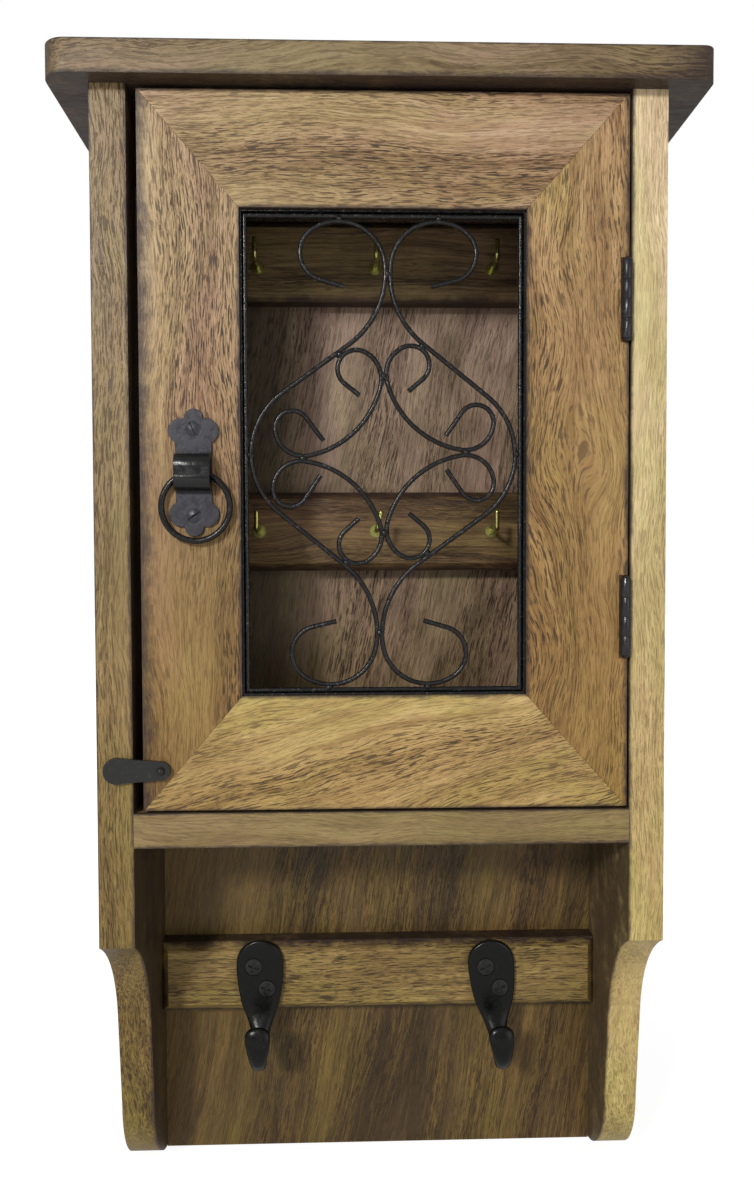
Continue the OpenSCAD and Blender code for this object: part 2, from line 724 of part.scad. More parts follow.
// The loop cut across: x = depth from the ring's axis, y = height. The ring rests in its hollow.
module loop_section() {
  plate_front = front_y - plate_t - loop_y;
  foot = sqrt(pow(loop_out_r, 2) - pow(plate_front, 2));
  difference() {
    union() {
      loop_round(loop_out_r, -loop_stretch, loop_stretch);
      for (s = [-1, 1]) translate([plate_front - 1.6, s * (foot + loop_stretch) - 0.9]) square([1.6, 1.8]);
    }
    loop_round(loop_in_r, 0, loop_stretch);
    translate([plate_front, -2 * loop_out_r]) square([10, 4 * loop_out_r]);
  }
}
module pull_ring() color("#2a2624") {
  translate([pull_x + 1, loop_y, pull_z - ring_r]) facing_front()
    rotate_extrude($fn = 64) translate([ring_r, 0]) circle(r = ring_wire_r);
}
module pull_screws() color("#45403e") {
  for (s = [-1, 1]) pull_place() translate([0, -plate_t, s * pull_screw_rise])
    facing_front() screw(pull_screw, s > 0 ? -60 : 35, false, pull_screw_dome);
}

// ---- turn button ----

module button_place() translate([button_x, front_y, button_z]) children();
module button_outline() {
  lean = acos((button_wide_r - button_narrow_r) / button_reach);
  away = [-cos(lean), sin(lean)];
  wide = [-button_reach, 0];
  circle(r = button_narrow_r);
  translate(wide) circle(r = button_wide_r);
  below = [away[0], -away[1]];
  polygon([away * (button_narrow_r - seam), wide + away * (button_wide_r - seam),
           wide + below * (button_wide_r - seam), below * (button_narrow_r - seam)]);
}
module turn_button() color("#332f30") button_place() facing_front() difference() {
  union() {
    cylinder(r = 3.2, h = air + 0.1);
    translate([0, 0, air]) linear_extrude(button_t) button_outline();
  }
  translate([0, 0, -1]) cylinder(r = button_screw_r + pin_play, h = button_t + 4);
}
module turn_button_screw() color("#3d393a") button_place() facing_front() {
  translate([0, 0, -10]) cylinder(r = button_screw_r, h = 10 + air + button_t + 0.2);
  translate([0, 0, air + button_t + 0.1]) difference() {
    sphere(r = 2);
    translate([-3, -3, -3]) cube([6, 6, 3]);
  }
}

// ---- magnetic catch behind the handle-side stile ----

module catch_screw_places() {
  for (s = [-1, 1]) translate([inner_left + catch_w, catch_y + catch_d / 2, catch_z + s * 15])
    facing_right() children();
}
module magnet_box(gap, front) {
  box([inner_left + 3 - gap, catch_y - front, catch_z - 9 - gap],
      [inner_left + 11 + gap, catch_y + 11 + gap, catch_z + 9 + gap]);
}
module catch_body() color("#5b5048") difference() {
  box([inner_left, catch_y, catch_z - catch_h / 2],
      [inner_left + catch_w, catch_y + catch_d, catch_z + catch_h / 2]);
  magnet_box(fit, 1);
  catch_screw_places() screw_space(catch_screw);
}
module catch_magnet() color("#6a6a6c") magnet_box(0, 0.3);
module catch_screws() color("#8a8a86") catch_screw_places() screw(catch_screw, 0, true);

module catch_strike_screw_places() {
  for (s = [-1, 1]) translate([door_left + 6.5, door_back_y + catch_strike_t, catch_z + s * 13])
    facing_back() children();
}
module catch_strike() color("#8a8a86") difference() {
  box([door_left + 1, door_back_y, catch_z - 17],
      [door_left + 12, door_back_y + catch_strike_t, catch_z + 17]);
  catch_strike_screw_places() screw_space(strike_screw);
}
module catch_strike_screws() color("#8a8a86") catch_strike_screw_places() screw(strike_screw, 0, true);

hung() top_board();
hung() side_left();
hung() side_right();
hung() back_panel();
hung() shelf();
hung() key_rail_upper();
hung() key_rail_lower();
hung() coat_rail();
hung() top_dowels();
hung() shelf_dowels();
hung() rail_screws();
hung() key_hook_upper_left();
hung() key_hook_upper_middle();
hung() key_hook_upper_right();
hung() key_hook_lower_left();
hung() key_hook_lower_middle();
hung() key_hook_lower_right();
hung() coat_hook_left();
hung() coat_hook_right();
hung() coat_hook_screws();
hung() door_stile_left();
hung() door_stile_right();
hung() door_rail_top();
hung() door_rail_bottom();
hung() grille_frame();
hung() grille_rod();
hung() scroll_outer_left();
hung() scroll_outer_right();
hung() scroll_inner_upper_left();
hung() scroll_inner_upper_right();
hung() scroll_inner_lower_left();
hung() scroll_inner_lower_right();
hung() grille_welds();
hung() grille_screws();
hung() hinge_upper_carcass_leaf();
hung() hinge_upper_door_leaf();
hung() hinge_upper_pin();
hung() hinge_lower_carcass_leaf();
hung() hinge_lower_door_leaf();
hung() hinge_lower_pin();
hung() hinge_screws_carcass();
hung() hinge_screws_door();
hung() pull_plate();
hung() pull_ring();
hung() pull_screws();
hung() turn_button();
hung() turn_button_screw();
hung() catch_body();
hung() catch_magnet();
hung() catch_strike();
hung() catch_screws();
hung() catch_strike_screws();
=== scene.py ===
"""Looks for the key cabinet: wood, iron and brass surfaces, the camera and the light."""
import math

import bmesh
import bpy
from mathutils import Matrix, Vector

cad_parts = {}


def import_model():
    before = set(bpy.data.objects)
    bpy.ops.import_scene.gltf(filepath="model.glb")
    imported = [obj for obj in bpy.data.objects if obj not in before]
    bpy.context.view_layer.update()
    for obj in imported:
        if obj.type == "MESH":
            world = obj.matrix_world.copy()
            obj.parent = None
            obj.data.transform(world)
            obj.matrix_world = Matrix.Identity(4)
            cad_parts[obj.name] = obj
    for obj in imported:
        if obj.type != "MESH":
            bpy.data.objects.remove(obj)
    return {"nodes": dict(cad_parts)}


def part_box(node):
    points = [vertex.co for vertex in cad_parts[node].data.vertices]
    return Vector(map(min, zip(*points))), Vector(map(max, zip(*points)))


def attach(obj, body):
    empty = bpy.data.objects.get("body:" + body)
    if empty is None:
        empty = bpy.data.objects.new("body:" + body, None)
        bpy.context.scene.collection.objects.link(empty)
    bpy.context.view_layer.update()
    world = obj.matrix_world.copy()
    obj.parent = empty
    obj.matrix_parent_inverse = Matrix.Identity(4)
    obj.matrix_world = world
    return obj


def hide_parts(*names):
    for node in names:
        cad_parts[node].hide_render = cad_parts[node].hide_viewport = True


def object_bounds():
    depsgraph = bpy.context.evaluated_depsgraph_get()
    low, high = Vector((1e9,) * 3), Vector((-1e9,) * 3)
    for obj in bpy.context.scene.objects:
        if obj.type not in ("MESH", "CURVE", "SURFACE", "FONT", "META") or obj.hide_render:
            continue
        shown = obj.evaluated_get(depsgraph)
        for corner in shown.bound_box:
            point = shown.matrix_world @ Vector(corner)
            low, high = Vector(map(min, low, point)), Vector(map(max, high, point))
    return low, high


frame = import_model()
nodes = frame["nodes"]
cad_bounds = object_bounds()


# ---- node helpers ----

class Tree:
    """A material's node tree, built with short calls that return output sockets."""

    def __init__(self, name):
        self.material = bpy.data.materials.new(name)
        self.material.use_nodes = True
        self.tree = self.material.node_tree
        self.tree.nodes.clear()

    def add(self, kind, inputs=None, **settings):
        node = self.tree.nodes.new("ShaderNode" + kind)
        for key, value in settings.items():
            setattr(node, key, value)
        for key, value in (inputs or {}).items():
            self.put(node.inputs[key], value)
        return node

    def put(self, socket, value):
        """Links a socket or sets a value; a colour may be given without its alpha."""
        if isinstance(value, bpy.types.NodeSocket):
            self.tree.links.new(value, socket)
        elif socket.type == "RGBA" and len(value) == 3:
            socket.default_value = (*value, 1.0)
        else:
            socket.default_value = value

    def math(self, operation, a, b=0.0, clamp=False):
        return self.add("Math", {0: a, 1: b}, operation=operation, use_clamp=clamp).outputs[0]

    def noise(self, vector, scale, detail=2.0, roughness=0.5, distortion=0.0):
        node = self.add("TexNoise", {"Vector": vector, "Scale": scale, "Detail": detail,
                                     "Roughness": roughness, "Distortion": distortion})
        return node.outputs["Fac"]

    def stretch(self, vector, factors):
        return self.add("VectorMath", {0: vector, 1: factors}, operation="MULTIPLY").outputs[0]

    def smooth(self, value, low, high, to_low=0.0, to_high=1.0):
        node = self.add("MapRange", {"Value": value, "From Min": low, "From Max": high,
                                     "To Min": to_low, "To Max": to_high}, interpolation_type="SMOOTHSTEP")
        return node.outputs["Result"]

    def ramp(self, value, stops):
        node = self.add("ValToRGB", {"Fac": value})
        elements = node.color_ramp.elements
        while len(elements) < len(stops):
            elements.new(0.5)
        for element, (place, color) in zip(elements, stops):
            element.position = place
            element.color = (*color, 1.0)
        return node.outputs["Color"]

    def mix(self, factor, a, b, blend="MIX"):
        # the node has a set of sockets for each kind of value: 6, 7 and output 2 are the colours
        node = self.add("Mix", {"Factor": factor, 6: a, 7: b}, data_type="RGBA", blend_type=blend)
        return node.outputs[2]

    def finish(self, color, roughness, bump, bump_depth, bump_strength, **fixed):
        """Joins the shader to the output; fixed holds its other inputs, with _ for each space."""
        shader = self.add("BsdfPrincipled", {"Base Color": color, "Roughness": roughness})
        for key, value in fixed.items():
            self.put(shader.inputs[key.replace("_", " ")], value)
        normal = self.add("Bump", {"Height": bump, "Strength": bump_strength, "Distance": bump_depth})
        self.put(shader.inputs["Normal"], normal.outputs["Normal"])
        self.add("OutputMaterial", {"Surface": shader.outputs["BSDF"]})
        return self.material


# Vertices this close are welded, and edges that turn by more than the angle are softened
WELD_REACH = 1e-6
SOFTEN_FROM = math.radians(35)


def wear(node, material, bevel=0.0, segments=2):
    """Gives a CAD node its material and, where bevel is set, softened edges."""
    obj = nodes[node]
    obj.data.materials.clear()
    obj.data.materials.append(material)
    if bevel:
        obj.modifiers.new("weld", "WELD").merge_threshold = WELD_REACH
        soft = obj.modifiers.new("soft_edges", "BEVEL")
        soft.width = bevel
        soft.segments = segments
        soft.limit_method = "ANGLE"
        soft.angle_limit = SOFTEN_FROM
        soft.miter_outer = "MITER_ARC"
        soft.harden_normals = True


# ---- wood ----

# Linear colours of the waxed, stained mango wood: (dark, mid, light)
GOLD = ((0.190, 0.104, 0.038), (0.385, 0.247, 0.116), (0.520, 0.365, 0.195))
OLIVE = ((0.150, 0.099, 0.042), (0.290, 0.207, 0.104), (0.410, 0.310, 0.175))
BROWN = ((0.062, 0.035, 0.016), (0.185, 0.117, 0.056), (0.285, 0.195, 0.100))
ROSE = ((0.120, 0.074, 0.050), (0.270, 0.186, 0.134), (0.380, 0.280, 0.210))
EARTH = ((0.046, 0.028, 0.011), (0.130, 0.084, 0.035), (0.225, 0.152, 0.070))
PORE = (0.040, 0.020, 0.010)
STAIN = (0.020, 0.009, 0.010)


def tinted(colors, red, green, blue):
    return tuple((color[0] * red, color[1] * green, color[2] * blue) for color in colors)


# Repeats per metre of each texture: along the grain, then twice across it
HAIR = (40.0, 1500.0, 1500.0)
LARGE_PORES = (120.0, 1350.0, 1350.0)
SMALL_PORES = (230.0, 2400.0, 2400.0)
DRIFT = (9.0, 26.0, 26.0)
WAX_PATCHES = (16.0, 16.0, 10.0)
RAGGED_EDGE = (70.0, 70.0, 70.0)
# Share of each texture in the light and dark of the grain
BROAD_SHARE, FINE_SHARE, HAIR_SHARE = 0.34, 0.34, 0.32
# Half the spread of tones that a board's colours cover where its contrast is 1
TONE_REACH = 0.16
# The colour drifts between two tints, and a third grows between two heights of the cabinet
ROSY, YELLOWISH = (1.03, 0.975, 1.06), (0.95, 0.99, 0.86)
FOOT_TINT = (0.80, 0.755, 0.52)
FOOT_FROM, FOOT_TO = 0.02, -0.40
WAX_SHARE = 0.40  # how much a patch of wax darkens the wood
# How far the edge of a dark edge band wanders: this share of its width, counted up to a greatest width
EDGE_WANDER, WANDER_WIDTH = 1.6, 0.010
# A below look blends in over this height, and reaches this deep behind the board's front
BELOW_BLEND, BELOW_DEPTH = 0.01, 0.004
# This share of the dark edge bands, the back panel's painted shadow of the door frame among them, is taken
# away where a below look lies
BELOW_EDGE_CLEARED = 0.75  # share of the edge stain that a below look takes away


def board_colors(t, tone, colors, contrast):
    half = TONE_REACH / contrast
    return t.ramp(tone, [(0.5 - half, colors[0]), (0.5, colors[1]), (0.5 + half, colors[2])])


def grain_place(t, place, along, tilt, wave, seed):
    """Place with x along the grain; slow waves push the grain sideways."""
    turned = t.add("Mapping", {"Vector": place, "Rotation": (0, math.radians(tilt), 0)}).outputs[0]
    parts = t.add("SeparateXYZ", {"Vector": turned}).outputs
    order = {"z": (2, 0, 1), "x": (0, 2, 1)}[along]
    run, across, deep = (parts[i] for i in order)
    slow = t.add("CombineXYZ", {0: t.math("MULTIPLY", run, 7.0), 1: t.math("MULTIPLY", across, 16.0),
                                2: t.math("ADD", t.math("MULTIPLY", deep, 16.0), seed)}).outputs[0]
    sway = t.math("MULTIPLY", t.math("SUBTRACT", t.noise(slow, 1.0, 2.0), 0.5), wave * 10)
    return t.add("CombineXYZ", {0: run, 1: t.math("ADD", across, sway),
                                2: t.math("ADD", deep, seed)}).outputs[0]


def pore_mask(t, grain, broad):
    """Short dark pores of two sizes, thicker in some bands than in others."""
    band = t.smooth(broad, 0.38, 0.60, 1.0, 0.42)
    large = t.smooth(t.noise(t.stretch(grain, LARGE_PORES), 1.0, 1.5, 0.55), 0.545, 0.625)
    small = t.smooth(t.noise(t.stretch(grain, SMALL_PORES), 1.0, 1.0, 0.5), 0.56, 0.66)
    return t.math("MULTIPLY", t.math("MAXIMUM", large, t.math("MULTIPLY", small, 0.6)), band)


def edge_stain_and_shade(t, place, raw, box, behind, edges):
    """How much edge staining and painted shade lies at each spot, for edges as in wood()."""
    low, high = box
    ragged = t.math("SUBTRACT", t.noise(t.stretch(place, RAGGED_EDGE), 1.0, 4.0, 0.7), 0.46)
    total = 0.0
    for edge in edges:
        axis, side, width, reach, solid = (*edge, 0.0, 0.0)[:5]
        i = "xyz".index(axis)
        inward = t.math("SUBTRACT", high[i], raw[i]) if side else t.math("SUBTRACT", raw[i], low[i])
        inward = t.math("ADD", inward, t.math("MULTIPLY", ragged, EDGE_WANDER * min(width, WANDER_WIDTH)))
        amount = t.smooth(inward, solid * width, width, 1.0, 0.0)
        if reach:
            amount = t.math("MULTIPLY", amount, t.smooth(behind, 0.5 * reach, reach, 1.0, 0.0))
        total = t.math("MAXIMUM", total, amount)
    return total


def wood(name, node, colors, along="z", tilt=0.0, seed=0.0, pores=0.8, wave=0.004, streaks=110.0,
         edges=(), edge_strength=0.85, contrast=1.0, below=None, foot=None, stain_and_shade_color=STAIN):
    """Board with grain along one axis; tilt turns the grain in the board's face, in degrees.

    edges lists (axis, side, width, reach, solid): a dark band that fades over width metres from
    that end, only in the reach metres behind the front, with full strength over the solid share;
    mostly staining, and on the back panel painted shadow of the door frame.
    below is (height, colors, contrast): another look for the front of a board under that height.
    foot is a tint that grows from the top of the board to its foot.
    """
    t = Tree(name)
    place = t.add("TexCoord").outputs["Object"]
    raw = t.add("SeparateXYZ", {"Vector": place}).outputs
    low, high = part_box(node)
    behind = t.math("SUBTRACT", raw[1], low[1])
    grain = grain_place(t, place, along, tilt, wave, seed)

    broad = t.noise(t.stretch(grain, (2.2, streaks * 0.30, streaks * 0.30)), 1.0, 3.0, 0.55, 0.4)
    fine = t.noise(t.stretch(grain, (9.0, streaks * 3.2, streaks * 3.2)), 1.0, 5.0, 0.7)
    hair = t.noise(t.stretch(grain, HAIR), 1.0, 3.0, 0.7)
    tone = t.math("ADD", t.math("MULTIPLY", broad, BROAD_SHARE), t.math("MULTIPLY", fine, FINE_SHARE))
    tone = t.math("ADD", tone, t.math("MULTIPLY", hair, HAIR_SHARE))
    color = board_colors(t, tone, colors, contrast)
    under = 0.0
    if below:
        under = t.smooth(raw[2], below[0] - BELOW_BLEND, below[0] + BELOW_BLEND, 1.0, 0.0)
        front = t.smooth(behind, BELOW_DEPTH / 4, BELOW_DEPTH, 1.0, 0.0)
        under = t.math("MULTIPLY", under, front)
        color = t.mix(under, color, board_colors(t, tone, *below[1:]))

    # the board's colour drifts between rosy and yellowish
    drift = t.smooth(t.noise(t.stretch(grain, DRIFT), 1.0, 3.0, 0.6, 0.6), 0.36, 0.64)
    color = t.mix(1.0, color, t.mix(drift, ROSY, YELLOWISH), "MULTIPLY")

    pore = pore_mask(t, grain, broad)
    color = t.mix(t.math("MULTIPLY", pore, pores, clamp=True), color, PORE)

    # patches of darker wax, and a yellower tone towards the foot of the cabinet
    patch = t.smooth(t.noise(t.stretch(place, WAX_PATCHES), 1.0, 4.0, 0.65, 0.5), 0.42, 0.70)
    color = t.mix(t.math("MULTIPLY", patch, WAX_SHARE), color, colors[0])
    color = t.mix(t.smooth(raw[2], FOOT_TO, FOOT_FROM, 1.0, 0.0), color, FOOT_TINT, "MULTIPLY")
    if foot:
        color = t.mix(t.smooth(raw[2], low[2], high[2], 1.0, 0.0), color, foot, "MULTIPLY")

    # dark bands at the edges: mostly staining that gathered there; on the back panel, painted shadow of
    # the door frame
    if edges:
        stain_and_shade_amount = edge_stain_and_shade(t, place, raw, (low, high), behind, edges)
        kept = t.math("SUBTRACT", 1.0, t.math("MULTIPLY", under, BELOW_EDGE_CLEARED))
        stain_and_shade_amount = t.math("MULTIPLY", t.math("MULTIPLY", stain_and_shade_amount, kept), edge_strength, clamp=True)
        color = t.mix(stain_and_shade_amount, color, stain_and_shade_color)

    height = t.math("SUBTRACT", t.math("MULTIPLY", hair, 0.5), pore)
    rough = t.smooth(fine, 0.3, 0.7, 0.40, 0.56)
    return t.finish(color, rough, height, 0.00030, 0.7, Specular_IOR_Level=0.38)


# Boards: (node, colours, settings of the wood, width of the softened edges, segments in them)
BOARDS = [
    ("top_board", tinted(OLIVE, 0.75, 0.72, 0.72),
     dict(along="x", seed=1.3, contrast=2.0, pores=1.0, edge_strength=0.8,
          edges=[("x", 0, 0.012), ("x", 1, 0.034), ("z", 0, 0.0034), ("z", 1, 0.0012, 0.004)]), 0.0022, 3),
    ("side_left", tinted(OLIVE, 1.16, 1.18, 1.14),
     dict(seed=2.1, wave=0.003, contrast=1.7, pores=0.8, foot=(0.94, 0.91, 0.74), edge_strength=0.82,
          edges=[("x", 1, 0.0022), ("x", 0, 0.0010, 0.005), ("z", 0, 0.010)]), 0.0014, 3),
    ("side_right", tinted(GOLD, 2.0, 2.5, 3.0),
     dict(seed=3.7, wave=0.003, pores=0.45, edges=[("x", 0, 0.0020), ("z", 0, 0.006)]), 0.0014, 3),
    # The back panel's wide dark band along its left edge is painted shadow of the door frame, in an olive
    # colour, and its narrow band along the right edge darkens it there; both lie only on its front face,
    # and the lower bay keeps little of them.
    ("back_panel", tinted(ROSE, 1.22, 1.22, 1.18),
     dict(tilt=-11, seed=4.2, contrast=1.6, pores=1.0, wave=0.0016, streaks=80, edge_strength=0.72,
          stain_and_shade_color=(0.026, 0.020, 0.003), edges=[("x", 0, 0.086, 0.004, 0.72), ("x", 1, 0.016, 0.004)],
          below=(-0.34, tinted(EARTH, 1.32, 1.30, 1.10), 2.0)), 0.0, 1),
    ("shelf", tinted(OLIVE, 1.03, 1.04, 1.09),
     dict(along="x", seed=5.5, contrast=1.7, pores=0.8,
          edges=[("z", 0, 0.0022), ("z", 1, 0.0014, 0.004)]), 0.0012, 2),
    ("key_rail_upper", tinted(BROWN, 1.1, 1.1, 1.05),
     dict(along="x", seed=6.1, contrast=2.2, wave=0.002,
          edges=[("z", 0, 0.005), ("z", 1, 0.005)]), 0.0005, 2),
    ("key_rail_lower", tinted(BROWN, 1.06, 1.0, 0.88),
     dict(along="x", seed=7.4, contrast=2.2, wave=0.003,
          edges=[("z", 0, 0.005), ("z", 1, 0.005)]), 0.0005, 2),
    ("coat_rail", tinted(OLIVE, 1.44, 1.47, 1.28),
     dict(along="x", seed=8.8, wave=0.002, contrast=1.5, pores=0.9, edge_strength=0.95,
          edges=[("z", 1, 0.0052), ("z", 0, 0.0030), ("x", 0, 0.004), ("x", 1, 0.004)]), 0.0005, 2),
    ("door_stile_left", tinted(GOLD, 1.27, 1.31, 1.62),
     dict(seed=9.3, wave=0.004, contrast=1.6, pores=1.0, foot=(0.68, 0.62, 0.40),
          edges=[("x", 0, 0.0095), ("x", 1, 0.0026)]), 0.0006, 2),
    ("door_stile_right", tinted(GOLD, 1.16, 1.15, 1.02),
     dict(seed=10.9, wave=0.0050, streaks=80, contrast=1.75, pores=0.9, foot=(0.87, 0.84, 0.68),
          edges=[("x", 0, 0.0026), ("x", 1, 0.003)]), 0.0006, 2),
    ("door_rail_top", tinted(GOLD, 1.09, 1.12, 1.23),
     dict(along="x", seed=11.6, wave=0.002, contrast=1.75, pores=0.95,
          edges=[("z", 0, 0.0026), ("z", 1, 0.0022)]), 0.0006, 2),
    ("door_rail_bottom", tinted(GOLD, 1.49, 1.65, 1.60),
     dict(along="x", tilt=16, seed=12.2, wave=0.004, streaks=80, contrast=1.5, pores=0.9,
          edges=[("z", 0, 0.002), ("z", 1, 0.0024)]), 0.0006, 2),
    ("top_dowels", tinted(OLIVE, 1.8, 1.8, 1.8), dict(seed=13.0, pores=0.3), 0.0, 1),
    ("shelf_dowels", tinted(OLIVE, 1.8, 1.8, 1.8), dict(along="x", seed=13.0, pores=0.3), 0.0, 1),
]
for node, colors, settings, bevel, segments in BOARDS:
    wear(node, wood("wood_" + node, node, colors, **settings), bevel, segments)


# ---- metals ----

def iron(name, color, roughness, rust=0.0, wear_color=(0.16, 0.155, 0.15), wear_amount=0.25,
         bump=0.5, gloss=0.3, polished_from=None):
    """Waxed or lacquered black iron: hammered, a little worn, with specks of rust.

    polished_from is a y: what stands in front of it is blacker and smoother.
    """
    t = Tree(name)
    place = t.add("TexCoord").outputs["Object"]
    lumps = t.noise(place, 260.0, 3.0, 0.6)
    grit = t.noise(place, 1500.0, 2.0, 0.6)
    worn = t.smooth(t.noise(place, 520.0, 4.0, 0.7), 0.58, 0.70)
    shade = t.mix(t.math("MULTIPLY", worn, wear_amount), color, wear_color)
    if rust:
        spots = t.smooth(t.noise(place, 150.0, 4.0, 0.7), 0.64, 0.72)
        shade = t.mix(t.math("MULTIPLY", spots, rust), shade, (0.105, 0.042, 0.018))
    rough = t.smooth(lumps, 0.3, 0.7, roughness - 0.07, roughness + 0.12)
    if polished_from is not None:
        y = t.add("SeparateXYZ", {"Vector": place}).outputs[1]
        polished = t.smooth(y, polished_from - 0.0004, polished_from + 0.0004, 1.0, 0.0)
        shade = t.mix(polished, shade, (0.005, 0.005, 0.005))
        rough = t.math("SUBTRACT", rough, t.math("MULTIPLY", polished, 0.12))
    height = t.math("ADD", lumps, t.math("MULTIPLY", grit, 0.25))
    return t.finish(shade, rough, height, 0.0003, bump, Specular_IOR_Level=gloss)


# The pull's plate lies within this depth of the door; what stands in front of it is the loop
PLATE_DEPTH = 0.0030
grille_iron = iron("grille_iron", (0.0075, 0.0068, 0.0068), 0.25, rust=0.6,
                   wear_color=(0.17, 0.165, 0.165), wear_amount=0.45, bump=1.0, gloss=0.32)
coat_iron = iron("coat_iron", (0.0045, 0.0045, 0.0040), 0.24, wear_color=(0.05, 0.048, 0.03),
                 wear_amount=0.2, bump=0.3, gloss=0.2)
screw_iron = iron("screw_iron", (0.009, 0.009, 0.008), 0.28, wear_color=(0.08, 0.08, 0.07),
                  wear_amount=0.4, gloss=0.35)
ring_iron = iron("ring_iron", (0.007, 0.0065, 0.006), 0.24, wear_amount=0.2, gloss=0.3)
plate_iron = iron("plate_iron", (0.026, 0.024, 0.033), 0.33, wear_color=(0.10, 0.10, 0.12),
                  wear_amount=0.35, gloss=0.40, polished_from=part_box("pull_plate")[1][1] - PLATE_DEPTH)
button_iron = iron("button_iron", (0.017, 0.017, 0.016), 0.34, wear_color=(0.10, 0.10, 0.10),
                   wear_amount=0.35)
hinge_iron = iron("hinge_iron", (0.012, 0.010, 0.012), 0.26, rust=0.2, wear_color=(0.12, 0.10, 0.12),
                  gloss=0.4)

for node in nodes:
    if node.startswith(("grille_", "scroll_")):
        wear(node, grille_iron)
    elif node.startswith("hinge_"):
        wear(node, hinge_iron, 0.0003 if node.endswith(("leaf", "pin")) else 0.0)
wear("coat_hook_screws", screw_iron, 0.0002)
wear("pull_ring", ring_iron)
wear("pull_plate", plate_iron, 0.0006, 3)
wear("pull_screws", plate_iron, 0.0002)
wear("turn_button", button_iron, 0.0006, 3)
wear("turn_button_screw", button_iron, 0.0003)


def brass():
    t = Tree("brass_hook")
    place = t.add("TexCoord").outputs["Object"]
    dull = t.smooth(t.noise(place, 240.0, 4.0, 0.7), 0.4, 0.7)
    color = t.mix(dull, (0.52, 0.49, 0.16), (0.25, 0.25, 0.07))
    rough = t.smooth(dull, 0.0, 1.0, 0.24, 0.42)
    return t.finish(color, rough, t.noise(place, 800.0), 0.0001, 0.2, Metallic=0.9)


def plain(name, color, roughness, metallic=0.0):
    """Hidden fittings: a moulded or plated surface with a fine grain."""
    t = Tree(name)
    place = t.add("TexCoord").outputs["Object"]
    cloud = t.noise(place, 300.0, 4.0, 0.7)
    shade = t.mix(t.smooth(cloud, 0.3, 0.75), color, tuple(c * 0.72 for c in color))
    return t.finish(shade, roughness, t.noise(place, 1800.0), 0.0001, 0.25, Metallic=metallic)


brass_hook = brass()
zinc = plain("zinc_steel", (0.50, 0.50, 0.51), 0.34, 0.9)
for node in nodes:
    if node.startswith("key_hook_"):
        wear(node, brass_hook)
wear("catch_body", plain("catch_body", (0.060, 0.038, 0.022), 0.5), 0.0008)
wear("catch_magnet", plain("catch_magnet", (0.16, 0.16, 0.17), 0.45, 0.8), 0.0003)
for node in ("catch_strike", "catch_screws", "catch_strike_screws", "rail_screws"):
    wear(node, zinc)


# ---- coat hooks: forged straps that replace the plainer CAD hooks ----

# Along the strap from the top of the plate: distance in front of the rail, height below the
# top of the plate, half width, half thickness, and how square the section is; in mm.
HOOK_STATIONS = [
    (2.0, 0.0, 0.6, 1.2, 2.4), (2.0, 0.7, 4.3, 1.7, 2.8), (2.0, 2.2, 7.4, 1.9, 3.4),
    (2.0, 4.6, 10.2, 2.0, 4.0), (2.0, 8.2, 12.3, 2.0, 4.6), (2.0, 13.0, 13.1, 2.0, 5.0),
    (2.0, 19.0, 12.9, 2.0, 5.0), (2.0, 25.0, 12.4, 2.0, 5.0), (2.0, 31.0, 11.5, 2.0, 4.6),
    (2.1, 36.5, 10.2, 2.1, 4.0), (2.5, 41.0, 8.5, 2.4, 3.2), (3.7, 45.0, 6.9, 2.8, 2.6),
    (5.6, 49.5, 5.5, 3.1, 2.3), (7.2, 54.0, 4.7, 3.3, 2.1), (9.3, 58.2, 4.2, 3.4, 2.0),
    (12.6, 61.6, 4.0, 3.4, 2.0), (16.6, 62.8, 4.1, 3.3, 2.0), (20.4, 61.6, 4.3, 3.2, 2.0),
    (23.2, 58.6, 4.7, 3.0, 2.1), (24.8, 54.6, 5.4, 2.8, 2.2), (25.4, 50.2, 6.2, 2.6, 2.3),
    (25.2, 46.4, 6.8, 2.4, 2.3), (24.6, 43.4, 6.7, 2.2, 2.3), (23.9, 41.4, 5.5, 2.0, 2.2),
    (23.4, 40.2, 3.4, 1.5, 2.1), (23.2, 39.8, 1.0, 0.7, 2.0),
]
# Screw wells in the plate: (right of the middle, above the top of the plate), in mm
HOOK_SCREWS = [(-3.5, -14.5), (3.7, -27.0)]
# Radius of a well, depth of its cutter, and the cutter's middle in y, in metres
WELL_R, WELL_DEPTH, WELL_Y = 0.0050, 0.0032, -0.0048
RAIL_FRONT_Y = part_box("coat_rail")[0][1]
COAT_HOOK_X = {"left": -0.0670, "right": 0.0620}
COAT_HOOK_LEAN = {"left": -0.5, "right": -4.5}  # degrees about y


def between(stations, steps):
    """The stations with smooth in-betweens, by Catmull-Rom."""
    out = []
    last = len(stations) - 1
    for i in range(last):
        a, b, c, d = (stations[max(0, min(last, i + k))] for k in (-1, 0, 1, 2))
        for step in range(steps):
            u = step / steps
            out.append([0.5 * (2 * b[k] + (c[k] - a[k]) * u
                               + (2 * a[k] - 5 * b[k] + 4 * c[k] - d[k]) * u ** 2
                               + (3 * b[k] - a[k] - 3 * c[k] + d[k]) * u ** 3) for k in range(5)])
    out.append(list(stations[-1]))
    return out


